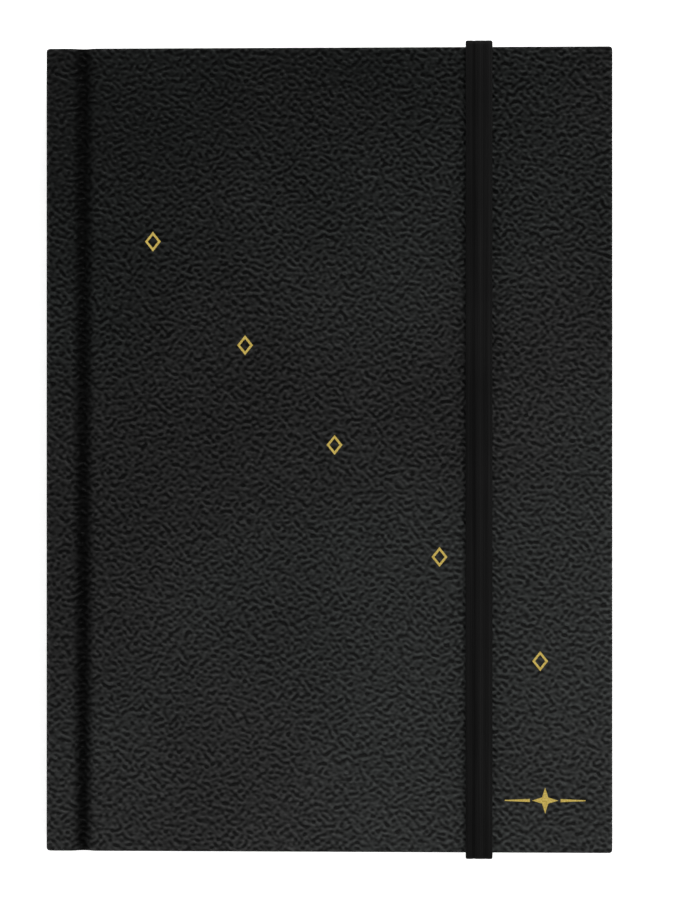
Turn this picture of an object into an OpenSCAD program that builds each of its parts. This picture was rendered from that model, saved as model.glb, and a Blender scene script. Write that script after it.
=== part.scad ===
// Hardcover A5 pilot logbook: a case-bound book of sewn signatures with an elastic closure strap.
// The closed book lies on its back cover. +X runs from the spine to the fore edge, +Y to the head
// and +Z out of the front cover. The origin is under the centre of the book, on the resting face.

/* [Cover] */
// Width of the closed cover, spine to fore edge
cover_w = 148; // [120:1:180]
// Height of the cover, tail to head
cover_h = 210; // [180:1:260]
// Thickness of the cover boards
board_t = 2.2; // [2.2:0.1:3]
// Thickness of the leather skin
skin_t = 0.6; // [0.4:0.1:0.8]
// Distance of the hinge groove's centre line from the spine
groove_x = 9.8; // [9:0.1:14]
// Half of the hinge groove's width at the surface
groove_half = 3.4; // [2.5:0.1:3.6]
// Depth of the hinge groove
groove_depth = 1.8; // [1:0.1:1.8]
// Width of the leather turned in over the board's inner face
turn_in = 14; // [8:1:20]

/* [Pages] */
// Thickness of one signature of eight leaves
signature_t = 0.93; // [0.8:0.01:1.2]
// Distance that the cover stands proud of the pages
square_margin = 3; // [2:0.5:4]
// Thickness of the endpapers
endpaper_t = 0.2; // [0.15:0.05:0.3]

/* [Elastic strap] */
// Width of the strap
strap_w = 7; // [5:0.5:10]
// Thickness of the strap
strap_t = 1.2; // [0.8:0.1:1.2]
// Distance of the strap from the fore edge
strap_inset = 31.2; // [20:0.1:60]
// Distance of the strap slots from the head and tail edges
slot_inset = 10; // [8:1:14]
// Length of the strap end that is glued under the pastedown
strap_tail = 32; // [20:1:40]

/* [Gold foil] */
// Height of a lozenge ornament
lozenge_h = 5.2; // [4:0.1:7]
// Width of the emblem near the lower corner
emblem_w = 21; // [14:1:24]
// Height of the emblem's star
emblem_h = 6.8; // [5:0.1:8]

/* [Hidden] */
$fn = 32;

half_signatures = 6;        // signatures in each half of the book
strap_x = cover_w - strap_inset - strap_w;
leaf_clear = 0.05;          // air between the page block and each pastedown, and half of it at mid block
skin_clear = 0.1;           // air between the spine skin and a cover skin at their mitre
strap_clear = 0.1;          // room round the strap where it passes through the back cover
strap_stand = 0.4;          // how far the strap's legs stand off the head and tail edges
strap_lift = 0.15;          // how far the strap's front span stands off the cover
corner_r = 1;               // rounding of the strap where it turns over an edge
mull_t = 0.3;
mull_reach = 38;            // how far the mull's flaps reach from the spine over the boards
case_t = skin_t + board_t;  // thickness of a cover without its pastedown
half_block = half_signatures * signature_t + endpaper_t;
book_t = 2 * (case_t + endpaper_t + half_block + 2 * leaf_clear);
board_x = groove_x + groove_half + 0.1;
edge_x = cover_w - skin_t;
edge_y = cover_h / 2 - skin_t;
page_x = 2.9;               // back of the signatures' folds
page_edge_x = cover_w - square_margin;
page_y = cover_h / 2 - square_margin;
spine_card_t = 1;
lining_x = 2;
lining_t = 0.2;
mull_x = lining_x + lining_t;
mull_y = edge_y - turn_in - 0.4;  // the mull stops between the turn-ins
hinge_paper_x = 2.6;        // spine-side edge of the pastedowns and mull flaps
strip_x = 2.2;
strip_w = groove_x - groove_half - 0.1 - strip_x;
groove_steps = 12;
fold_steps = 8;
thread_r = 0.2;
stations = 5;
station_gap = 38;
band_r = 0.8;
band_tab = 14;
slot_y = cover_h / 2 - slot_inset;
leg_y = cover_h / 2 + strap_stand;
strap_z = book_t + strap_lift;
foil_t = 0.05;
foil_line = 0.75;
lozenge_spots = [[0.19, 0.259], [0.353, 0.13], [0.511, 0.006], [0.696, -0.133], [0.873, -0.262]];
emblem_at = [cover_w - 17.5, 13.7 - cover_h / 2];
rule_start = 4;             // from the emblem's centre to the near end of each rule
rule_h = 0.8;
rule_tip_h = 0.24;

leather = [0.14, 0.15, 0.14];
card = [0.55, 0.53, 0.48];
ivory = [0.93, 0.9, 0.82];
paper = [0.96, 0.95, 0.9];
linen = [0.86, 0.85, 0.8];
kraft = [0.68, 0.54, 0.36];
elastic = [0.07, 0.07, 0.07];
gold = [0.8, 0.64, 0.28];
silk = [0.16, 0.16, 0.17];

// Half a circle of points from the bottom to the top of a fold of thickness t, bulging to -X.
function fold_arc(t) = [for (i = [0 : fold_steps])
    let (a = 270 - 180 * i / fold_steps) [t / 2 * (1 + cos(a)), t / 2 * (1 + sin(a))]];

// Depth of the hinge groove at a distance x from the spine.
function dip(x) = abs(x - groove_x) >= groove_half ? 0
    : groove_depth / 2 * (1 + cos(180 * (x - groove_x) / groove_half));

// The groove's surface, raised by z, from the spine side to the board side.
function groove_line(z) = [for (i = [0 : groove_steps])
    let (x = groove_x + groove_half * (2 * i / groove_steps - 1)) [x, z + dip(x)]];

function reversed(list) = [for (i = [len(list) - 1 : -1 : 0]) list[i]];

// Puts a shape drawn from the spine's outer face at its place in the book's own frame.
module place() {
    translate([-cover_w / 2, 0, 0]) children();
}

// Everything is drawn for the back half, and the front half is its mirror image.
module half(front) {
    if (front)
        translate([0, 0, book_t]) mirror([0, 0, 1]) children();
    else
        children();
}

// A box between two x, symmetric in y, between two z.
module slab(x0, x1, half_y, z0, z1) {
    translate([x0, -half_y, z0]) cube([x1 - x0, 2 * half_y, z1 - z0]);
}

// A profile in the XZ plane, drawn out along Y.
module prism(points, length) {
    rotate([90, 0, 0]) linear_extrude(height = length, center = true) polygon(points);
}

// A profile in the YZ plane, drawn out across the strap's width.
module strap_prism(points) {
    translate([strap_x, 0, 0]) rotate([90, 0, 90])
        linear_extrude(height = strap_w) polygon(points);
}

// A box as wide as the strap and its clearance, between two y and two z.
module strap_slab(y0, y1, z0, z1) {
    translate([strap_x - strap_clear, y0, z0]) cube([strap_w + 2 * strap_clear, y1 - y0, z1 - z0]);
}

// The room that the strap takes in the back cover: glued tail, slot and channel to the edge.
module strap_room() {
    slot_y0 = slot_y - strap_clear;
    slot_y1 = slot_y + strap_t + strap_clear;
    for (side = [0, 1]) mirror([0, side, 0]) {
        strap_slab(slot_y0 - strap_tail, slot_y1, case_t - strap_t - strap_clear, case_t + 1);
        strap_slab(slot_y0, slot_y1, -1, case_t + 1);
        strap_slab(slot_y0, cover_h / 2 + 1, -1, strap_t + strap_clear);
    }
}

module cover_board(front) {
    color(card) place() half(front) difference() {
        slab(board_x, edge_x, edge_y, skin_t, case_t);
        difference() {
            slab(board_x - 1, cover_w, cover_h / 2, case_t - skin_t, case_t + 1);
            slab(board_x - 2, edge_x - turn_in, edge_y - turn_in, 0, book_t);
        }
        slab(board_x - 1, mull_reach + strap_clear, mull_y + strap_clear, case_t - mull_t, case_t + 1);
        if (!front) strap_room();
    }
}

module cover_skin(front) {
    outer = concat([[skin_clear, 0]], groove_line(0), [[cover_w, 0], [cover_w, skin_t]],
        reversed(groove_line(skin_t)), [[skin_t + skin_clear, skin_t]]);
    color(leather) place() half(front) difference() {
        union() {
            prism(outer, cover_h);
            difference() {
                slab(board_x, cover_w, cover_h / 2, skin_t / 2, case_t);
                slab(board_x - 1, edge_x, edge_y, skin_t / 2 - 1, case_t - skin_t);
                slab(board_x - 1, edge_x - turn_in, edge_y - turn_in, 0, book_t);
            }
        }
        if (!front) strap_room();
    }
}

module joint_strip(front) {
    color(card) place() half(front)
        slab(strip_x, strip_x + strip_w, edge_y, skin_t, case_t - mull_t);
}

module mull_flap(front) {
    color(linen) place() half(front)
        slab(hinge_paper_x, mull_reach, mull_y, case_t - mull_t, case_t);
}

module pastedown(front) {
    color(ivory) place() half(front)
        slab(hinge_paper_x, page_edge_x, page_y, case_t, case_t + endpaper_t);
}

module flyleaf(front) {
    z = case_t + endpaper_t + leaf_clear;
    color(ivory) place() half(front) slab(page_x, page_edge_x, page_y, z, z + endpaper_t);
}

// One signature of folded sheets, counted from the cover towards the middle of the book.
module signature(front, n) {
    z = case_t + 2 * endpaper_t + leaf_clear + (n - 1) * signature_t;
    color(paper) place() half(front) translate([page_x, 0, z])
        prism(concat(fold_arc(signature_t),
            [[page_edge_x - page_x, signature_t], [page_edge_x - page_x, 0]]), 2 * page_y);
}

module spine_board() {
    color(card) place()
        slab(skin_t, skin_t + spine_card_t, edge_y, skin_t + 0.15, book_t - skin_t - 0.15);
}

module spine_skin() {
    color(leather) place()
        prism([[0, 0], [0, book_t], [skin_t, book_t - skin_t], [skin_t, skin_t]], cover_h);
}

module spine_lining() {
    z = case_t + endpaper_t + leaf_clear;
    color(kraft) place() slab(lining_x, lining_x + lining_t, mull_y, z, book_t - z);
}

module spine_mull() {
    z = case_t + endpaper_t + leaf_clear;
    color(linen) place() slab(mull_x, mull_x + mull_t - 0.05, mull_y, z, book_t - z);
}

// One vertical run of thread at each sewing station, across the backs of the signatures.
module sewing_thread() {
    z = case_t + 2 * endpaper_t;
    color(linen) place() for (i = [0 : stations - 1])
        translate([page_x - thread_r - 0.03, (i - (stations - 1) / 2) * station_gap, z])
            cylinder(r = thread_r, h = book_t - 2 * z);
}

// A rolled silk bead on the end of the page block, with the tape that glues it to the spine.
module end_band(side) {
    z = case_t + 2 * endpaper_t;
    h = book_t - 2 * z;
    tape_x = skin_t + spine_card_t + 0.05;
    tape_t = lining_x - tape_x - 0.05;
    bead_y = page_y + 0.05 + band_r;
    color(silk) place() mirror([0, side, 0]) {
        translate([page_x + 0.5, bead_y, z]) cylinder(r = band_r, h = h);
        translate([tape_x, page_y - band_tab, z]) cube([tape_t, band_tab + 0.1 + band_r, h]);
        translate([tape_x, page_y + 0.1, z]) cube([page_x + 0.5 - tape_x, band_r, h]);
    }
}

// Outer corner of the strap, as points from the side face round to the end face.
function strap_corner(z) = [for (i = [0 : fold_steps])
    let (a = 90 * i / fold_steps)
    [leg_y + strap_t - corner_r * (1 - cos(a)), z - corner_r * (1 - sin(a))]];

module strap_front_span() {
    top = strap_z + strap_t;
    right = concat([[leg_y + strap_t, strap_z]], strap_corner(top));
    left = [for (p = reversed(right)) [-p[0], p[1]]];
    color(elastic) place() strap_prism(concat(right, left));
}

module strap_leg(side) {
    y0 = cover_h / 2 + strap_stand * 3 / 4;
    y1 = leg_y + strap_t;
    bottom = [for (p = strap_corner(0)) [p[0], -p[1]]];
    top = strap_z - strap_clear;
    color(elastic) place() mirror([0, side, 0]) strap_prism(concat(
        [[y0, 0]], reversed(bottom), [[y1, top], [leg_y, top], [leg_y, strap_t], [y0, strap_t]]));
}

// One end of the strap: the tail glued inside the cover, the turn through the slot and the run
// along the channel to the edge.
module strap_end(side) {
    edge = cover_h / 2 + strap_stand / 2;
    color(elastic) place() mirror([0, side, 0]) strap_prism([
        [slot_y - strap_tail, case_t - strap_t], [slot_y, case_t - strap_t], [slot_y, 0],
        [edge, 0], [edge, strap_t], [slot_y + strap_t, strap_t], [slot_y + strap_t, case_t],
        [slot_y - strap_tail, case_t]]);
}

// A filled lozenge, scaled about its centre.
module lozenge(size) {
    scale([0.8 * lozenge_h * size, lozenge_h * size]) circle(d = 1, $fn = 4);
}

// Lozenge outlines down the cover's diagonal.
module foil_lozenges() {
    inner = 1 - 2.5 * foil_line / lozenge_h;
    color(gold) place() translate([0, 0, book_t]) linear_extrude(height = foil_t)
        for (spot = lozenge_spots) translate([spot[0] * cover_w, spot[1] * cover_h]) difference() {
            lozenge(1);
            lozenge(inner);
        }
}

// A four-pointed star between two rules that taper outwards.
module foil_emblem() {
    waist = emblem_h / 6;
    color(gold) place() translate([emblem_at[0], emblem_at[1], book_t])
        linear_extrude(height = foil_t) {
            polygon([for (i = [0 : 7]) let (r = i % 2 == 0 ? emblem_h / 2 : waist)
                [r * cos(45 * i), r * sin(45 * i)]]);
            for (side = [0, 1]) mirror([side, 0]) polygon([
                [rule_start, -rule_h / 2], [rule_start, rule_h / 2],
                [emblem_w / 2, rule_tip_h / 2], [emblem_w / 2, -rule_tip_h / 2]]);
        }
}

cover_board(true);  // front_board
cover_skin(true);  // front_cover_skin
joint_strip(true);  // front_joint_strip
mull_flap(true);  // front_mull_flap
pastedown(true);  // front_pastedown
foil_lozenges();
foil_emblem();
flyleaf(true);  // front_flyleaf
signature(true, 1);  // signature_01
signature(true, 2);  // signature_02
signature(true, 3);  // signature_03
signature(true, 4);  // signature_04
signature(true, 5);  // signature_05
signature(true, 6);  // signature_06
signature(false, 6);  // signature_07
signature(false, 5);  // signature_08
signature(false, 4);  // signature_09
signature(false, 3);  // signature_10
signature(false, 2);  // signature_11
signature(false, 1);  // signature_12
flyleaf(false);  // back_flyleaf
pastedown(false);  // back_pastedown
mull_flap(false);  // back_mull_flap
joint_strip(false);  // back_joint_strip
cover_skin(false);  // back_cover_skin
cover_board(false);  // back_board
spine_board();
spine_skin();
spine_lining();
spine_mull();
sewing_thread();
end_band(0);  // headband
end_band(1);  // tailband
strap_front_span();
strap_leg(0);  // strap_head_leg
strap_leg(1);  // strap_tail_leg
strap_end(0);  // strap_head_end
strap_end(1);  // strap_tail_end
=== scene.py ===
"""Looks of the pilot logbook: leather case, sewn pages, endpapers, elastic strap and gold foil.

Lengths inside the geometry functions are millimetres, with x counted from the spine's outer face.
"""
import math

import bpy
import numpy as np
from mathutils import Matrix, Vector


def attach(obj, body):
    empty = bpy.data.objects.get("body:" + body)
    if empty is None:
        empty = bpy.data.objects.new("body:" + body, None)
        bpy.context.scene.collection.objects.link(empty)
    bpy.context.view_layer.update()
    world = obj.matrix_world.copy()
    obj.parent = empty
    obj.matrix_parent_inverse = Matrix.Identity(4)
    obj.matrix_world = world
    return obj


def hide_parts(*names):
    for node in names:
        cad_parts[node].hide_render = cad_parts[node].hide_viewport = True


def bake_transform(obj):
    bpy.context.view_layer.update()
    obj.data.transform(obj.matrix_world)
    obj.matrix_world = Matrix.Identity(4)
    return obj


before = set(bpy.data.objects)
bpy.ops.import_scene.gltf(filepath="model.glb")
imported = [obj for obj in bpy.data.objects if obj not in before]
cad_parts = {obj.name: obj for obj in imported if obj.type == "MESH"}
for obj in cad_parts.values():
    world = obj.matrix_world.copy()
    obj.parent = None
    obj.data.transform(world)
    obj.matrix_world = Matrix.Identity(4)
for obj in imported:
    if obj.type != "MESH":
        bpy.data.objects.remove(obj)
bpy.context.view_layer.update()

# ---------------------------------------------------------------- sizes, in millimetres
# cover
COVER_W = 148.0
COVER_H = 210.0
HALF_H = COVER_H / 2
BOOK_T = 17.76
CASE_T = 2.8
SPINE_T = 1.61
SKIN_T = 0.4
TURN_IN = 14.0
SKIN_EDGE = TURN_IN + 0.6
EDGE_R = 0.9
SHOULDER_R = 1.7
GROOVE_X = 9.8
GROOVE_HALF = 3.4
GROOVE_DEPTH = 1.8

# pages
PAGE_X = 2.9
PAGE_EDGE_X = 145.0
PAGE_Y = 102.0
PAGES_Z = 3.25
SIGNATURE_T = 0.93
SIGNATURES = 12
SHEETS = 4
LEAF_T = 0.1
FLYLEAF_T = 0.18
FLYLEAF_Z = 3.15
ARCH_END_X = 13.0

# strap
STRAP_X = 109.8
STRAP_W = 7.0
STRAP_T = 1.2
STRAP_Z = 17.91
SLOT_Y = 95.0
LEG_Y = 105.4
CHANNEL_T = 1.3
CHANNEL_GAP = 0.06

# leather grain: waves per millimetre are the product of the two
GRAIN_SCALE = 0.47
GRAIN_WAVES = 1.23

# light colour
WHITE = (1.0, 1.0, 1.0, 1.0)


def row(x, y, z):
    """A point in the row frame, in metres."""
    return ((x - COVER_W / 2) / 1000, y / 1000, z / 1000)


def make_piece(name, points, faces, material):
    """A smooth-shaded mesh object from points in millimetres."""
    mesh = bpy.data.meshes.new(name)
    mesh.from_pydata([row(*p) for p in points], [], faces)
    mesh.validate()
    mesh.update()
    obj = bpy.data.objects.new(name, mesh)
    bpy.context.scene.collection.objects.link(obj)
    mesh.materials.append(material)
    mesh.polygons.foreach_set("use_smooth", [True] * len(mesh.polygons))
    return obj


def keep_rest(obj):
    """Stores where each vertex is at rest, which the materials read, so patterns stay on the piece."""
    mesh = obj.data
    co = np.zeros(len(mesh.vertices) * 3, np.float32)
    mesh.vertices.foreach_get("co", co)
    attribute = mesh.attributes.get("rest") or mesh.attributes.new("rest", "FLOAT_VECTOR", "POINT")
    attribute.data.foreach_set("vector", co)


def sharpen(obj, degrees=50):
    """Keeps shading smooth except across edges sharper than the angle."""
    obj.data.set_sharp_from_angle(angle=math.radians(degrees))


def apply_modifiers(obj):
    """Turns the object's modifiers into its mesh."""
    graph = bpy.context.evaluated_depsgraph_get()
    mesh = bpy.data.meshes.new_from_object(obj.evaluated_get(graph))
    obj.modifiers.clear()
    old = obj.data
    obj.data = mesh
    bpy.data.meshes.remove(old)


# ---------------------------------------------------------------- materials
class Nodes:
    """A short way to write a material's node tree."""

    def __init__(self, name, cad):
        self.material = bpy.data.materials.new(name)
        self.material.use_nodes = True
        self.tree = self.material.node_tree
        self.tree.nodes.clear()
        self.shader = self.add("ShaderNodeBsdfPrincipled")
        output = self.add("ShaderNodeOutputMaterial")
        self.link(self.shader.outputs["BSDF"], output.inputs["Surface"])
        self.place = self.rest_mm(cad)

    def add(self, kind, **settings):
        node = self.tree.nodes.new(kind)
        for key, value in settings.items():
            setattr(node, key, value)
        return node

    def link(self, output, socket):
        self.tree.links.new(output, socket)

    def feed(self, socket, value):
        if isinstance(value, bpy.types.NodeSocket):
            self.link(value, socket)
        else:
            socket.default_value = value

    def rest_mm(self, cad):
        """The rest position in millimetres: object space on a CAD node, stored on a Blender piece."""
        if cad:
            source = self.add("ShaderNodeTexCoord").outputs["Object"]
        else:
            source = self.add("ShaderNodeAttribute", attribute_name="rest").outputs["Vector"]
        return self.scaled(source, (1000, 1000, 1000))

    def scaled(self, vector, scale):
        node = self.add("ShaderNodeVectorMath", operation="MULTIPLY")
        self.feed(node.inputs[0], vector)
        node.inputs[1].default_value = scale
        return node.outputs[0]

    def axis(self, vector, index):
        node = self.add("ShaderNodeSeparateXYZ")
        self.feed(node.inputs[0], vector)
        return node.outputs[index]

    def math(self, operation, a, b=0.0, c=0.0):
        node = self.add("ShaderNodeMath", operation=operation)
        for socket, value in zip(node.inputs, (a, b, c)):
            self.feed(socket, value)
        return node.outputs[0]

    def noise(self, vector, scale, detail=3.0, roughness=0.5):
        node = self.add("ShaderNodeTexNoise")
        self.feed(node.inputs["Vector"], vector)
        node.inputs["Scale"].default_value = scale
        node.inputs["Detail"].default_value = detail
        node.inputs["Roughness"].default_value = roughness
        return node.outputs

    def remap(self, value, low, high, to_low=0.0, to_high=1.0, smooth=False):
        node = self.add("ShaderNodeMapRange", clamp=True)
        if smooth:
            node.interpolation_type = "SMOOTHSTEP"
        self.feed(node.inputs["Value"], value)
        for key, number in (("From Min", low), ("From Max", high), ("To Min", to_low), ("To Max", to_high)):
            node.inputs[key].default_value = number
        return node.outputs[0]

    def feed_color(self, socket, color):
        self.feed(socket, color if isinstance(color, bpy.types.NodeSocket) else (*color, 1))

    def mix(self, factor, a, b):
        """Colour a where the factor is 0 and b where it is 1."""
        node = self.add("ShaderNodeMix", data_type="RGBA")
        factor_socket, a_socket, b_socket, result = 0, 6, 7, 2
        self.feed(node.inputs[factor_socket], factor)
        self.feed_color(node.inputs[a_socket], a)
        self.feed_color(node.inputs[b_socket], b)
        return node.outputs[result]

    def bump(self, height, distance_mm, after=None):
        node = self.add("ShaderNodeBump")
        node.inputs["Strength"].default_value = 1.0
        node.inputs["Distance"].default_value = distance_mm / 1000
        self.feed(node.inputs["Height"], height)
        if after is not None:
            self.link(after, node.inputs["Normal"])
        return node.outputs[0]

    def wave(self, value, pitch):
        """A sine from -1 to 1 that repeats with the pitch."""
        return self.math("SINE", self.math("MULTIPLY", value, 2 * math.pi / pitch))

    def finish(self, color, normal, roughness, metallic=0.0, specular=0.5):
        self.feed_color(self.shader.inputs["Base Color"], color)
        self.feed(self.shader.inputs["Roughness"], roughness)
        self.shader.inputs["Metallic"].default_value = metallic
        self.shader.inputs["Specular IOR Level"].default_value = specular
        if normal is not None:
            self.link(normal, self.shader.inputs["Normal"])
        return self.material


def leather_grain(n):
    """Height of the leather's grain: 0 in the pits, 1 on the ridges, which run mostly across the book.

    The flat pattern is wrapped round the spine and the edges, and isn't slanted by the groove's depth.
    """
    x, y = n.axis(n.place, 0), n.axis(n.place, 1)
    z = n.axis(n.place, 2)
    groove = GROOVE_X - COVER_W / 2
    turn = n.remap(x, groove - GROOVE_HALF, groove + GROOVE_HALF, -math.pi, math.pi)
    sunk = n.math("MULTIPLY_ADD", n.math("COSINE", turn), GROOVE_DEPTH / 2, GROOVE_DEPTH / 2)
    outward = n.math("SIGN", n.math("SUBTRACT", z, BOOK_T / 2))
    z = n.math("MULTIPLY_ADD", outward, sunk, z)
    flat = n.add("ShaderNodeCombineXYZ")
    n.link(n.math("ADD", x, z), flat.inputs["X"])
    n.link(n.math("MULTIPLY_ADD", z, 0.7, y), flat.inputs["Y"])
    waves = n.add("ShaderNodeTexGabor", gabor_type="2D")
    n.link(flat.outputs[0], waves.inputs["Vector"])
    waves.inputs["Scale"].default_value = GRAIN_SCALE
    waves.inputs["Frequency"].default_value = GRAIN_WAVES
    waves.inputs["Anisotropy"].default_value = 0.32
    waves.inputs["Orientation"].default_value = math.pi / 2
    ridges = n.remap(waves.outputs["Value"], 0.28, 0.72)
    cells = n.add("ShaderNodeTexVoronoi", feature="SMOOTH_F1")
    n.link(n.scaled(n.place, (0.62, 1.03, 1.0)), cells.inputs["Vector"])
    cells.inputs["Scale"].default_value = 1.2
    cells.inputs["Randomness"].default_value = 0.8
    cells.inputs["Smoothness"].default_value = 0.12
    net = n.remap(cells.outputs["Distance"], 0.1, 0.92)
    net_share = 0.22
    return n.math("MULTIPLY_ADD", net, net_share, n.math("MULTIPLY", ridges, 1 - net_share))


def leather_material():
    """Black leather, lighter on the ridges than in the pits, where shade is painted; painted light makes it
    lighter towards the fore edge and tail, and painted shade makes it darkest in the groove.
    """
    n = Nodes("cover_leather", cad=False)
    # dark and light ends of the leather's tone, which spans random patches and the painted light slope
    neutral_dark, neutral_light = (0.0146, 0.0146, 0.0146), (0.0530, 0.0532, 0.0530)
    cool_dark, cool_light = (0.0135, 0.0152, 0.0148), (0.0509, 0.0547, 0.0537)
    # painted shade: the pit colours are far darker than the ridge colours, in place of the shade that falls
    # in the grain's pits
    shaded_pit_dark, shaded_pit_light = (0.0014, 0.0015, 0.0015), (0.0092, 0.0094, 0.0093)
    # painted shade colours for the hinge groove
    groove_shade_ridge, groove_shade_pit = (0.0004, 0.0005, 0.0005), (0.0002, 0.0002, 0.0002)
    grain = leather_grain(n)
    x = n.axis(n.place, 0)
    y = n.axis(n.place, 1)

    patches = n.noise(n.place, 0.02, 3.0, 0.6)[0]
    # painted light: a slope that makes the leather lighter towards the fore edge and the tail, in place of
    # the lamps' fall-off; tone adds random patches to it
    painted_light_slope = n.math("MULTIPLY_ADD", y, -0.0040, n.math("MULTIPLY_ADD", x, 0.0020, 0.48))
    tone = n.math("ADD", n.remap(patches, 0.3, 0.7, -0.16, 0.16), painted_light_slope)
    hue = n.remap(n.noise(n.place, 0.012, 2.0)[0], 0.42, 0.58)
    dark = n.mix(hue, neutral_dark, cool_dark)
    light = n.mix(hue, neutral_light, cool_light)
    ridge = n.mix(n.remap(tone, 0.0, 1.0), dark, light)
    shaded_pit = n.mix(n.remap(tone, 0.2, 1.0), shaded_pit_dark, shaded_pit_light)

    # painted shade in the hinge groove: near black within 0.3 mm of a line 0.25 mm towards the spine from
    # the groove's middle, fading out over its half width, where its sides fall into shade
    from_groove = n.math("ABSOLUTE", n.math("ADD", x, COVER_W / 2 - GROOVE_X + 0.25))
    groove_shade = n.remap(from_groove, 0.3, GROOVE_HALF, 0.95, 0.0, smooth=True)
    ridge = n.mix(groove_shade, ridge, groove_shade_ridge)
    shaded_pit = n.mix(groove_shade, shaded_pit, groove_shade_pit)
    # painted shade in the pits: the pit colour where the grain is low, the ridge colour where it is high
    color = n.mix(n.remap(grain, 0.2, 0.98), shaded_pit, ridge)

    pores = n.noise(n.place, 6.0, 2.0)[0]
    normal = n.bump(grain, 0.62, after=n.bump(pores, 0.02))
    rough = n.remap(grain, 0.4, 0.75, 0.85, 0.5)
    return n.finish(color, normal, rough, specular=0.06)


def gold_material():
    """Gold foil that takes a little of the leather's grain and is worn in spots."""
    n = Nodes("gold_foil", cad=True)
    deep, bright = (0.66, 0.46, 0.075), (0.98, 0.76, 0.21)
    wear = n.noise(n.place, 2.4, 3.0, 0.6)[0]
    color = n.mix(n.remap(wear, 0.35, 0.65), deep, bright)
    normal = n.bump(leather_grain(n), 0.05)
    return n.finish(color, normal, n.remap(wear, 0.3, 0.7, 0.45, 0.32), metallic=0.5)


def strap_material():
    """Woven black elastic: ribs along the strap, fine weft across it, and streaks of tone along it."""
    n = Nodes("elastic_webbing", cad=False)
    rib_pitch, weft_pitch, weft_slant = 0.58, 0.5, 5.4
    streaks = ((2.2, 0.75, -0.4), (4.0, 0.9, 0.32), (6.3, 0.8, 0.36))
    thread_dark, tone_dark, tone_light = (0.002,) * 3, (0.0022,) * 3, (0.0112,) * 3
    x = n.axis(n.place, 0)
    along = n.math("ADD", n.axis(n.place, 1), n.axis(n.place, 2))

    ribs = n.wave(x, rib_pitch)
    weft_phase = n.math("MULTIPLY", along, 2 * math.pi / weft_pitch)
    weft = n.math("SINE", n.math("MULTIPLY_ADD", x, weft_slant, weft_phase))
    weave = n.math("MULTIPLY_ADD", n.math("MULTIPLY", ribs, weft), 0.35, n.math("MULTIPLY", ribs, 0.65))
    height = n.remap(weave, -1.0, 1.0)

    grain_along = n.noise(n.scaled(n.place, (2.4, 0.03, 0.03)), 1.0, 2.0)[0]
    streak = n.remap(grain_along, 0.35, 0.65, 0.0, 0.3)
    for centre, reach, weight in streaks:
        away = n.math("ABSOLUTE", n.math("ADD", x, COVER_W / 2 - STRAP_X - centre))
        streak = n.math("ADD", streak, n.remap(away, 0.0, reach, weight, 0.0, smooth=True))
    patch = n.noise(n.scaled(n.place, (0.02, 0.045, 0.045)), 1.0, 2.0)[0]
    tone = n.math("ADD", n.math("ADD", streak, 0.12), n.remap(patch, 0.35, 0.65, 0.0, 0.2))
    lit = n.mix(tone, tone_dark, tone_light)
    color = n.mix(height, n.mix(0.5, thread_dark, lit), lit)
    n.shader.inputs["Sheen Weight"].default_value = 0.01
    n.shader.inputs["Sheen Roughness"].default_value = 0.5
    return n.finish(color, n.bump(height, 0.07), 0.85, specular=0.06)


def grid_lines(n, position, pitch, width):
    """1 on lines that repeat with the pitch, 0 between them."""
    phase = n.math("PINGPONG", position, pitch / 2)
    return n.math("LESS_THAN", phase, width / 2)


def within(n, value, low, high):
    """1 between low and high, 0 outside."""
    return n.math("MULTIPLY", n.math("GREATER_THAN", value, low), n.math("LESS_THAN", value, high))


def any_of(n, *values):
    """The largest of the values, so 1 where any of them is 1."""
    total = values[0]
    for value in values[1:]:
        total = n.math("MAXIMUM", total, value)
    return total


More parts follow.
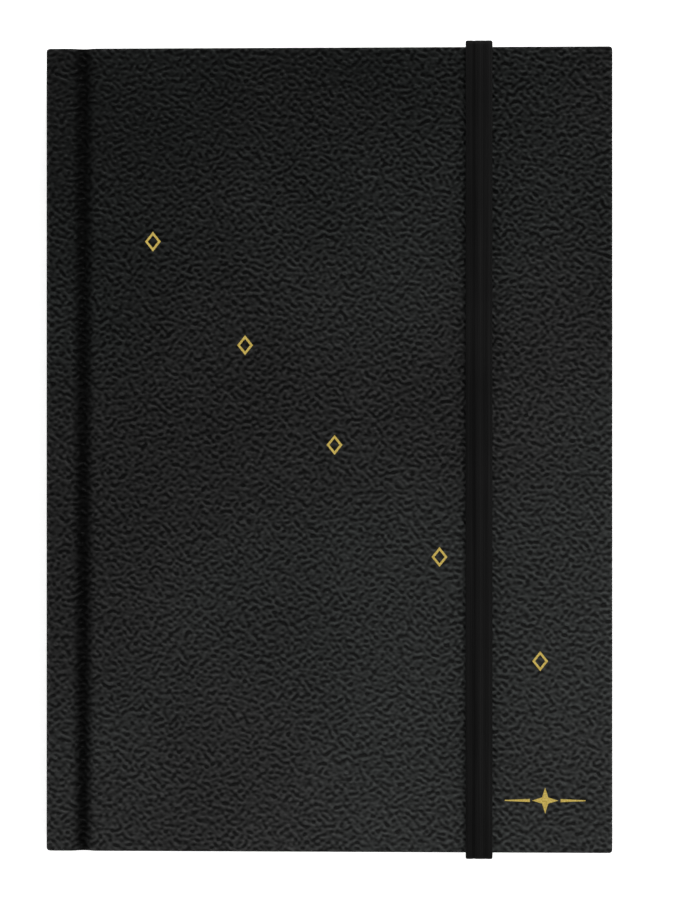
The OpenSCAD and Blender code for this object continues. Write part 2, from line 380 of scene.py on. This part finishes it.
def page_material():
    """Writing paper printed with a ruled log table: rows, columns, and a shaded band at head and foot."""
    n = Nodes("page_paper", cad=False)
    left, right, top, bottom = -54.0, 64.0, 92.0, -90.0
    heading_y, totals_y = 78.0, -69.0
    row_pitch, column_pitch, columns_in_group = 7.0, 11.8, 3
    thin, thick, border_w = 0.16, 0.34, 0.2
    paper_dark, paper_light, paper_aged = (0.64, 0.625, 0.565), (0.70, 0.685, 0.625), (0.60, 0.58, 0.50)
    band_ink, thin_ink, strong_ink = (0.42, 0.50, 0.56), (0.20, 0.27, 0.33), (0.10, 0.14, 0.18)

    fibre = n.noise(n.place, 1.6, 4.0, 0.6)[0]
    cloud = n.noise(n.place, 0.06, 2.0)[0]
    sheet = n.mix(n.remap(fibre, 0.3, 0.7), paper_dark, paper_light)
    sheet = n.mix(n.remap(cloud, 0.3, 0.7, 0.0, 0.35), sheet, paper_aged)

    x = n.axis(n.place, 0)
    y = n.axis(n.place, 1)
    from_left = n.math("SUBTRACT", x, left)
    from_bottom = n.math("SUBTRACT", y, bottom)
    in_x = within(n, x, left, right)
    in_y = within(n, y, bottom, top)
    table = n.math("MULTIPLY", in_x, in_y)
    heading = n.math("MULTIPLY", in_x, within(n, y, heading_y, top))
    totals = n.math("MULTIPLY", in_x, within(n, y, bottom, totals_y))

    below_heading = n.math("LESS_THAN", y, heading_y + 0.5)
    thin_rows = n.math("MULTIPLY", grid_lines(n, from_bottom, row_pitch, thin), below_heading)
    thin_columns = grid_lines(n, from_left, column_pitch, thin)
    thick_columns = grid_lines(n, from_left, column_pitch * columns_in_group, thick)
    lines = n.math("MULTIPLY", table, any_of(n, thin_rows, thin_columns))
    to_side = n.math("PINGPONG", from_left, right - left)
    to_end = n.math("PINGPONG", from_bottom, top - bottom)
    border = any_of(
        n,
        n.math("MULTIPLY", in_y, within(n, to_side, -1.0, border_w)),
        n.math("MULTIPLY", in_x, within(n, to_end, -1.0, border_w)),
        n.math("MULTIPLY", in_x, within(n, y, heading_y - border_w, heading_y + border_w)),
        n.math("MULTIPLY", in_x, within(n, y, totals_y - border_w, totals_y + border_w)),
    )
    strong = any_of(n, border, n.math("MULTIPLY", table, thick_columns))
    tint = n.math("MULTIPLY", any_of(n, heading, totals), 0.35)
    color = n.mix(tint, sheet, band_ink)
    color = n.mix(n.math("MULTIPLY", lines, 0.55), color, thin_ink)
    color = n.mix(n.math("MULTIPLY", strong, 0.8), color, strong_ink)
    return n.finish(color, n.bump(fibre, 0.012), 0.85, specular=0.2)


def endpaper_material(cad):
    """Cream endpaper with long fibres and a few brown flecks."""
    n = Nodes("endpaper" + ("_cad" if cad else ""), cad)
    fibre = n.noise(n.scaled(n.place, (1.0, 0.5, 1.0)), 1.8, 4.0, 0.65)[0]
    fleck = n.noise(n.place, 5.5, 2.0)[0]
    color = n.mix(n.remap(fibre, 0.3, 0.7), (0.50, 0.45, 0.34), (0.57, 0.52, 0.41))
    color = n.mix(n.remap(fleck, 0.68, 0.76, 0.0, 0.5), color, (0.34, 0.28, 0.19))
    return n.finish(color, n.bump(fibre, 0.02), 0.85, specular=0.2)


def greyboard_material():
    """Grey pulp board in layers, with dark specks."""
    n = Nodes("greyboard", cad=True)
    pulp = n.noise(n.scaled(n.place, (0.6, 0.6, 2.5)), 1.8, 5.0, 0.7)[0]
    speck = n.noise(n.place, 4.0, 2.0)[0]
    color = n.mix(n.remap(pulp, 0.3, 0.7), (0.20, 0.19, 0.165), (0.33, 0.31, 0.27))
    color = n.mix(n.remap(speck, 0.66, 0.74, 0.0, 0.6), color, (0.10, 0.09, 0.08))
    return n.finish(color, n.bump(pulp, 0.06), 0.9, specular=0.2)


def mull_material():
    """Open-weave cloth."""
    n = Nodes("mull_cloth", cad=True)
    thread_pitch = 0.9
    across = n.wave(n.math("ADD", n.axis(n.place, 0), n.axis(n.place, 2)), thread_pitch)
    along = n.wave(n.axis(n.place, 1), thread_pitch)
    threads = n.math("MAXIMUM", across, along)
    color = n.mix(n.remap(threads, -0.2, 0.6), (0.33, 0.30, 0.24), (0.70, 0.68, 0.60))
    return n.finish(color, n.bump(threads, 0.08), 0.95, specular=0.1)


def kraft_material():
    """Brown kraft paper with its fibres along the spine."""
    n = Nodes("kraft_lining", cad=True)
    fibre = n.noise(n.scaled(n.place, (1.0, 0.25, 1.0)), 2.2, 5.0, 0.7)[0]
    color = n.mix(n.remap(fibre, 0.3, 0.7), (0.30, 0.19, 0.09), (0.46, 0.31, 0.16))
    return n.finish(color, n.bump(fibre, 0.03), 0.85, specular=0.2)


def thread_material():
    """Twisted linen thread."""
    n = Nodes("linen_thread", cad=True)
    slanted = n.math("MULTIPLY_ADD", n.axis(n.place, 1), 1.2, n.axis(n.place, 2))
    twist = n.wave(slanted, 0.45)
    color = n.mix(n.remap(twist, -1.0, 1.0), (0.50, 0.46, 0.36), (0.76, 0.73, 0.64))
    return n.finish(color, n.bump(twist, 0.05), 0.7, specular=0.3)


def silk_material():
    """Dark and pale stripes of silk, as wound round the bead of an end band."""
    n = Nodes("silk_band", cad=False)
    thread_pitch, stripe_pitch = 0.24, 1.3
    z = n.axis(n.place, 2)
    stripe = n.remap(n.wave(z, stripe_pitch), -0.6, 0.6)
    color = n.mix(stripe, (0.05, 0.048, 0.045), (0.52, 0.50, 0.44))
    return n.finish(color, n.bump(n.wave(z, thread_pitch), 0.05), 0.45, specular=0.5)


# ---------------------------------------------------------------- leather case
# places of the mesh lines near an edge, as shares of its radius
EDGE_SHARES = (0.0, 0.26, 0.5, 0.74, 1.0, 2.2)
# places of the mesh lines through the case's thickness, as shares of it
DEPTH_SHARES = (0.0, 0.08, 0.17, 0.26, 0.36, 0.5, 0.64, 0.74, 0.83, 0.92, 1.0)


def dip(x):
    """Depth of the hinge groove at a distance from the spine."""
    t = (x - GROOVE_X) / GROOVE_HALF
    return 0.0 if abs(t) >= 1 else GROOVE_DEPTH / 2 * (1 + math.cos(math.pi * t))


def case_stations():
    """Outer and inner points of the case's front half in the XZ plane, from mid spine to the fore edge."""
    stations = []
    top = BOOK_T
    inner_z = top - CASE_T
    for z in np.linspace(BOOK_T / 2, top - SHOULDER_R, 9):
        stations.append(((0.0, z), (SPINE_T, min(z, inner_z))))
    shoulder_steps = 8
    for i in range(1, shoulder_steps):
        a = math.radians(90 * i / shoulder_steps)
        x = SHOULDER_R * (1 - math.cos(a))
        z = top - SHOULDER_R * (1 - math.sin(a))
        stations.append(((x, z), (max(SPINE_T, x), inner_z)))
    xs = [SHOULDER_R, 2.6, 3.6, 4.8, 5.8, GROOVE_X - GROOVE_HALF]
    xs += list(np.linspace(GROOVE_X - GROOVE_HALF, GROOVE_X + GROOVE_HALF, 19)[1:])
    xs += [14.0, 16.0, 19.0, 23.0, 28.0]
    xs += list(np.linspace(34.0, 106.0, 19))
    strap_end_x = STRAP_X + STRAP_W
    xs += [108.0, STRAP_X - 0.5, STRAP_X - 0.12, STRAP_X, STRAP_X + 1.5, STRAP_X + 3.5, STRAP_X + 5.5]
    xs += [strap_end_x, strap_end_x + 0.12, strap_end_x + 0.5, 119.0]
    xs += list(np.linspace(122.0, 144.0, 8))
    xs += [COVER_W - SKIN_EDGE]
    xs += [COVER_W - EDGE_R * share for share in EDGE_SHARES]
    for x in sorted(set(round(float(v), 4) for v in xs)):
        stations.append(((x, top - dip(x)), (max(x, SPINE_T), inner_z)))
    return stations


def case_rows():
    """Distances along the cover's height at which the case mesh has a row of points."""
    edge = [HALF_H - EDGE_R * share for share in EDGE_SHARES]
    near = [HALF_H - SKIN_EDGE, 100.0, 97.0, SLOT_Y + 0.5, SLOT_Y - 0.12, SLOT_Y - 0.5, 93.0, 88.0]
    middle = list(np.linspace(0.0, 80.0, 15))
    half = sorted(set(round(float(v), 4) for v in edge + near + middle))
    return [-v for v in reversed(half) if v > 0] + half


def channel_depth(x, y, front):
    """Depth to which the strap's run is pressed into the back cover."""
    inside_x = STRAP_X - CHANNEL_GAP <= x <= STRAP_X + STRAP_W + CHANNEL_GAP
    return CHANNEL_T if not front and inside_x and abs(y) >= SLOT_Y - CHANNEL_GAP else 0.0


def case_point(station, y, share, front):
    """A point of the case at a share of its thickness. Its outer and inner edges are rounded."""
    (outer_x, outer_z), (inner_x, inner_z) = station
    start = channel_depth(outer_x, y, front)
    full = math.hypot(inner_x - outer_x, inner_z - outer_z)
    thick = full - start
    r = min(EDGE_R, thick / 2)
    depth = share * thick
    over_x = max(0.0, outer_x - (COVER_W - r)) if outer_x > COVER_W / 2 else 0.0
    over_y = max(0.0, abs(y) - (HALF_H - r))
    over_depth = min(0.0, depth - r) + max(0.0, depth - (thick - r))
    reach = math.sqrt(over_x ** 2 + over_y ** 2 + over_depth ** 2)
    largest = max(over_x, over_y, abs(over_depth))
    shrink = largest / reach if reach > 1e-9 else 1.0
    x = outer_x - over_x + over_x * shrink
    y = math.copysign(abs(y) - over_y + over_y * shrink, y)
    depth = start + depth - over_depth + over_depth * shrink
    x += (inner_x - outer_x) / full * depth
    z = outer_z + (inner_z - outer_z) / full * depth
    return (x, y, z if front else BOOK_T - z)


def case_half(name, front, material):
    """Half of the leather case as a shell with rounded edges and turned-in margins."""
    stations = case_stations()
    rows = case_rows()
    end, top, last = len(stations) - 1, len(rows) - 1, len(DEPTH_SHARES) - 1
    points, faces, index = [], [], {}

    def vertex(i, j, k):
        if (i, j, k) not in index:
            index[i, j, k] = len(points)
            points.append(case_point(stations[i], rows[j], DEPTH_SHARES[k], front))
        return index[i, j, k]

    def face(*corners):
        quad = [vertex(*corner) for corner in corners]
        faces.append(quad if front else quad[::-1])

    tolerance = 0.01
    for i in range(end):
        for j in range(top):
            face((i, j, 0), (i + 1, j, 0), (i + 1, j + 1, 0), (i, j + 1, 0))
            turned = min(abs(rows[j]), abs(rows[j + 1])) >= HALF_H - SKIN_EDGE - tolerance
            if turned or stations[i][0][0] >= COVER_W - SKIN_EDGE - tolerance:
                face((i, j, last), (i, j + 1, last), (i + 1, j + 1, last), (i + 1, j, last))
        for k in range(last):
            face((i, 0, k), (i, 0, k + 1), (i + 1, 0, k + 1), (i + 1, 0, k))
            face((i, top, k), (i + 1, top, k), (i + 1, top, k + 1), (i, top, k + 1))
    for j in range(top):
        for k in range(last):
            face((end, j, k), (end, j, k + 1), (end, j + 1, k + 1), (end, j + 1, k))
    return make_piece(name, points, faces, material)


def leather_case(material):
    """The two leather halves, which meet at mid spine and bend at the spine's edges."""
    front = case_half("leather_case_front", True, material)
    back = case_half("leather_case_back", False, material)
    for obj in (front, back):
        solid = obj.modifiers.new("thickness", "SOLIDIFY")
        solid.thickness = SKIN_T / 1000
        solid.offset = -1
        apply_modifiers(obj)
        sharpen(obj)
        keep_rest(obj)
    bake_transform(front)
    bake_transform(back)
    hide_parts("front_cover_skin", "spine_skin")
    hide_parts("back_cover_skin")


# ---------------------------------------------------------------- pages
def path_frame(path):
    """A path's points and their left-hand normals, as arrays."""
    path = np.array(path, float)
    tangent = np.gradient(path, axis=0)
    tangent /= np.linalg.norm(tangent, axis=1)[:, None]
    return path, np.stack([-tangent[:, 1], tangent[:, 0]], axis=1)


def sheet_points(path, thickness, half_y):
    """Points and faces of a thin sheet that follows a path in the XZ plane, closed all round."""
    path, normal = path_frame(path)
    points, faces = [], []
    n = len(path)
    for side in (1, -1):
        line = path + normal * thickness / 2 * side
        for y in (-half_y, half_y):
            points += [(p[0], y, p[1]) for p in line]

    def at(side, end, i):
        return (0 if side > 0 else 2 * n) + (n if end > 0 else 0) + i

    for i in range(n - 1):
        faces.append((at(1, -1, i), at(1, -1, i + 1), at(1, 1, i + 1), at(1, 1, i)))
        faces.append((at(-1, -1, i), at(-1, 1, i), at(-1, 1, i + 1), at(-1, -1, i + 1)))
        faces.append((at(1, -1, i), at(-1, -1, i), at(-1, -1, i + 1), at(1, -1, i + 1)))
        faces.append((at(1, 1, i), at(1, 1, i + 1), at(-1, 1, i + 1), at(-1, 1, i)))
    faces.append((at(1, -1, 0), at(1, 1, 0), at(-1, 1, 0), at(-1, -1, 0)))
    faces.append((at(1, -1, n - 1), at(-1, -1, n - 1), at(-1, 1, n - 1), at(1, 1, n - 1)))
    return points, faces


def leaf_xs(fold_x, edge_x):
    """Distances from the spine at which a leaf has points, closer together near the spine."""
    near = list(np.arange(fold_x, ARCH_END_X + 1.0, 1.0))
    return near + [26.0, 40.0, 70.0, 100.0, 130.0, edge_x]


def make_leaves(name, node, front, points, faces, material):
    """One piece of the page block, built for the back half and mirrored for the front half."""
    if front:
        points = [(x, y, BOOK_T - z) for x, y, z in points]
        faces = [face[::-1] for face in faces]
    obj = make_piece(name, points, faces, material)
    sharpen(obj)
    keep_rest(obj)
    bend_pages(obj, front)
    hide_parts(node)


def bend_pages(obj, front):
    """Bakes the piece's transform into its mesh, the same on both halves; the pages are not bent."""
    if front:
        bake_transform(obj)
    else:
        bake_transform(obj)


def signature(number, front, order, material, rng):
    """One signature of folded sheets nested in one another; order counts from the cover."""
    leaves = 2 * SHEETS
    fold_steps = 7
    least_trim, trim_x, trim_y = 0.01, 0.07, 0.05
    base = PAGES_Z + order * SIGNATURE_T
    pitch = SIGNATURE_T / leaves
    centre_x = PAGE_X + SIGNATURE_T / 2
    points, faces = [], []
    for sheet in range(SHEETS):
        low = base + (sheet + 0.5) * pitch
        high = base + (leaves - 0.5 - sheet) * pitch
        radius = (high - low) / 2
        middle = (high + low) / 2
        edges = PAGE_EDGE_X - np.abs(rng.normal(0, trim_x, 2)) - least_trim
        path = [(x, low) for x in reversed(leaf_xs(centre_x, edges[0]))]
        for i in range(1, fold_steps):
            a = math.radians(270 - 180 * i / fold_steps)
            path.append((centre_x + radius * math.cos(a), middle + radius * math.sin(a)))
        path += [(x, high) for x in leaf_xs(centre_x, edges[1])]
        half_y = PAGE_Y - abs(rng.normal(0, trim_y)) - least_trim
        sheet_ps, sheet_fs = sheet_points(path, LEAF_T, half_y)
        faces += [tuple(i + len(points) for i in face) for face in sheet_fs]
        points += sheet_ps
    node = f"signature_{number:02d}"
    make_leaves("leaves_" + node, node, front, points, faces, material)


def flyleaf(front, material):
    """The free endpaper between a cover and its first signature."""
    path = [(x, FLYLEAF_Z) for x in leaf_xs(PAGE_X, PAGE_EDGE_X - 0.05)]
    points, faces = sheet_points(path, FLYLEAF_T, PAGE_Y - 0.05)
    node = "front_flyleaf" if front else "back_flyleaf"
    make_leaves("sheet_" + node, node, front, points, faces, material)


def pages():
    """All signatures, numbered from the front, and both flyleaves."""
    paper = page_material()
    endpaper = endpaper_material(cad=False)
    rng = np.random.default_rng(11)
    for order in range(SIGNATURES // 2):
        signature(order + 1, True, order, paper, rng)
        signature(SIGNATURES - order, False, order, paper, rng)
    flyleaf(True, endpaper)
    flyleaf(False, endpaper)


def end_band(node, side, material):
    """The wound bead at one end of the page block, with its tape inside the spine."""
    low, high = PAGES_Z, BOOK_T - PAGES_Z
    centre_x, centre_y = PAGE_X + 0.5, PAGE_Y + 0.85
    bead_r, turn_height, turn_pitch, end_share = 0.74, 0.05, 0.48, 0.8
    rings, around = 96, 14
    points, faces = [], []
    for i in range(rings + 1):
        z = low + (high - low) * i / rings
        r = bead_r + turn_height * math.sin(2 * math.pi * (z - low) / turn_pitch)
        if i in (0, rings):
            r *= end_share
        for j in range(around):
            a = 2 * math.pi * j / around
            points.append((centre_x + r * math.cos(a), side * (centre_y + r * math.sin(a)), z))
    for i in range(rings):
        for j in range(around):
            a, b = i * around + j, i * around + (j + 1) % around
            faces.append((a, b, b + around, a + around))
    faces.append(tuple(range(around))[::-1])
    faces.append(tuple(rings * around + j for j in range(around)))

    tape_start_y, tape_outer_x, tape_inner_x = PAGE_Y - 14, 1.68, 1.93
    tape = [(tape_outer_x, tape_start_y), (tape_outer_x, PAGE_Y + 0.5), (2.2, PAGE_Y + 0.95)]
    tape += [(3.2, PAGE_Y + 1.1), (3.2, PAGE_Y + 0.9), (2.3, PAGE_Y + 0.7)]
    tape += [(tape_inner_x, PAGE_Y + 0.35), (tape_inner_x, tape_start_y)]
    start, count = len(points), len(tape)
    for z in (low, high):
        points += [(x, side * y, z) for x, y in tape]
    for i in range(count):
        j = (i + 1) % count
        faces.append((start + i, start + j, start + count + j, start + count + i))
    faces.append(tuple(start + i for i in reversed(range(count))))
    faces.append(tuple(start + count + i for i in range(count)))
    if side > 0:
        faces = [face[::-1] for face in faces]
    obj = make_piece("wound_" + node, points, faces, material)
    keep_rest(obj)
    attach(obj, "spine")
    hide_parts(node)


# ---------------------------------------------------------------- elastic strap
def arc(centre, radius, start, end, steps=7):
    """Points on an arc from the start to the end angle, in degrees."""
    angles = [math.radians(start + (end - start) * i / steps) for i in range(steps + 1)]
    return [(centre[0] + radius * math.cos(a), centre[1] + radius * math.sin(a)) for a in angles]


def strap_path():
    """Centre line of the strap's head half in the YZ plane, from its glued tail to the front's middle."""
    half = STRAP_T / 2
    slot_r, corner_r = 0.62, 0.75
    slot_mid = SLOT_Y + half
    inner_z = CASE_T - half
    leg_mid = LEG_Y + half
    front_mid = STRAP_Z + half
    path = [(y, inner_z) for y in (64.0, 75.0, 85.0, 92.0)]
    path += arc((slot_mid - slot_r, inner_z - slot_r), slot_r, 90, 0)
    path += arc((slot_mid + slot_r, half + slot_r), slot_r, 180, 270)
    path += [(y, half) for y in (98.0, 101.0, 103.5)]
    path += arc((leg_mid - corner_r, half + corner_r), corner_r, 270, 360)
    path += [(leg_mid, z) for z in (2.5, 4.5, 7.0, 9.5, 12.0, 14.5, 16.5)]
    path += arc((leg_mid - corner_r, front_mid - corner_r), corner_r, 0, 90)
    path += [(y, front_mid) for y in np.linspace(103.5, 0.0, 24)]
    return path


def strap_profile():
    """Section of the strap as places across it and heights: thin rounded edges and two shallow valleys."""
    half_w = STRAP_W / 2
    across = 29
    edge_w, edge_share = 0.45, 0.45
    valleys = ((2.2, 0.35, 0.07), (5.2, 0.4, 0.04))
    profile = []
    for side in (1, -1):
        for i in range(across):
            u = side * half_w * (1 - 2 * i / (across - 1))
            edge = min(1.0, (half_w - abs(u)) / edge_w)
            lift = STRAP_T / 2 * (edge_share + (1 - edge_share) * math.sqrt(1 - (1 - edge) ** 2))
            for place, width, depth in valleys:
                lift -= depth * math.exp(-((u + half_w - place) / width) ** 2)
            profile.append((u, -side * lift))
    return profile


def strap(material):
    """The elastic strap as one piece, from its glued head end round the front to its tail end."""
    half_path = strap_path()
    path, normal = path_frame(half_path + [(-y, z) for y, z in reversed(half_path[:-1])])
    profile = strap_profile()
    ring = len(profile)
    points, faces = [], []
    for (y, z), (ny, nz) in zip(path, normal):
        for u, w in profile:
            points.append((STRAP_X + STRAP_W / 2 + u, y + ny * w, z + nz * w))
    for i in range(len(path) - 1):
        for j in range(ring):
            a, b = i * ring + j, i * ring + (j + 1) % ring
            faces.append((a, b, b + ring, a + ring))
    faces.append(tuple(range(ring))[::-1])
    end = (len(path) - 1) * ring
    faces.append(tuple(end + j for j in range(ring)))
    obj = make_piece("elastic_strap", points, faces, material)
    keep_rest(obj)
    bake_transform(obj)
    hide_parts("strap_front_span", "strap_head_leg", "strap_tail_leg", "strap_head_end",
                "strap_tail_end")


# ---------------------------------------------------------------- carried-over CAD nodes
def dress(material, *nodes):
    """Gives CAD nodes a material."""
    for name in nodes:
        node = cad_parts[name]
        node.data.materials.clear()
        node.data.materials.append(material)


def dress_cad_nodes():
    boards = ("front_board", "back_board", "spine_board", "front_joint_strip", "back_joint_strip")
    dress(greyboard_material(), *boards)
    dress(endpaper_material(cad=True), "front_pastedown", "back_pastedown")
    dress(mull_material(), "front_mull_flap", "back_mull_flap", "spine_mull")
    dress(kraft_material(), "spine_lining")
    dress(thread_material(), "sewing_thread")
    dress(gold_material(), "foil_lozenges", "foil_emblem")


# ---------------------------------------------------------------- stage, in metres
def floor_material():
    """A pale matt floor that glows a little, so that it comes out white."""
    n = Nodes("floor", cad=True)
    mottle = n.noise(n.place, 0.01, 2.0)[0]
    color = n.mix(mottle, (0.86, 0.86, 0.86), (0.88, 0.88, 0.88))
    n.shader.inputs["Emission Color"].default_value = WHITE
    n.shader.inputs["Emission Strength"].default_value = 0.65
    return n.finish(color, None, 0.9, specular=0.1)


def stage():
    """A plain floor just below the back cover."""
    size, z = 14.0, -0.0002
    corners = [(-size, -size, z), (size, -size, z), (size, size, z), (-size, size, z)]
    mesh = bpy.data.meshes.new("floor")
    mesh.from_pydata(corners, [], [(0, 1, 2, 3)])
    floor = bpy.data.objects.new("floor", mesh)
    bpy.context.scene.collection.objects.link(floor)
    mesh.materials.append(floor_material())


def area_light(name, place, size, power):
    """A round soft light aimed at the book."""
    data = bpy.data.lights.new(name, "AREA")
    data.shape = "DISK"
    data.size = size
    data.energy = power
    light = bpy.data.objects.new(name, data)
    light.location = place
    light.rotation_euler = (-Vector(place)).to_track_quat("-Z", "Y").to_euler()
    bpy.context.scene.collection.objects.link(light)


def lights():
    """Three soft lights, and a sky that is bright at the horizon and dark overhead."""
    area_light("soft_back", (0.5, 1.8, 1.1), 1.1, 46)
    area_light("soft_right", (1.7, -1.1, 1.3), 1.6, 22)
    area_light("soft_left", (-1.7, -0.7, 1.3), 1.6, 20)
    fall_end, horizon, overhead = 0.6, 1.0, 0.06
    world = bpy.data.worlds.new("studio")
    world.use_nodes = True
    tree = world.node_tree
    background = tree.nodes["Background"]
    direction = tree.nodes.new("ShaderNodeTexCoord")
    parts = tree.nodes.new("ShaderNodeSeparateXYZ")
    fall = tree.nodes.new("ShaderNodeMapRange")
    fall.interpolation_type = "SMOOTHSTEP"
    settings = {"From Min": 0.0, "From Max": fall_end, "To Min": horizon, "To Max": overhead}
    for key, number in settings.items():
        fall.inputs[key].default_value = number
    tree.links.new(direction.outputs["Generated"], parts.inputs[0])
    tree.links.new(parts.outputs["Z"], fall.inputs["Value"])
    tree.links.new(fall.outputs[0], background.inputs["Strength"])
    background.inputs["Color"].default_value = WHITE
    bpy.context.scene.world = world


def camera():
    """Straight above the front cover, leaning a little to the fore edge."""
    view_h = 0.2350
    distance = 1.0
    lean = math.radians(2.4)
    aim = Vector((0.0041, -0.0002, BOOK_T / 1000))
    place = aim + distance * Vector((math.sin(lean), 0, math.cos(lean)))
    back = (place - aim).normalized()
    right = Vector((0, 1, 0)).cross(back).normalized()
    up = back.cross(right)
    data = bpy.data.cameras.new("camera")
    data.sensor_fit = "VERTICAL"
    data.sensor_height = 24.0
    data.lens = data.sensor_height * distance / view_h
    data.clip_start = 0.05
    obj = bpy.data.objects.new("camera", data)
    turn = Matrix((right, up, back)).transposed()
    obj.matrix_world = Matrix.Translation(place) @ turn.to_4x4()
    bpy.context.scene.collection.objects.link(obj)
    bpy.context.scene.camera = obj


bpy.context.scene.view_settings.view_transform = "Standard"
leather_case(leather_material())
pages()
silk = silk_material()
end_band("headband", 1, silk)
end_band("tailband", -1, silk)
strap(strap_material())
dress_cad_nodes()
stage()
lights()
camera()
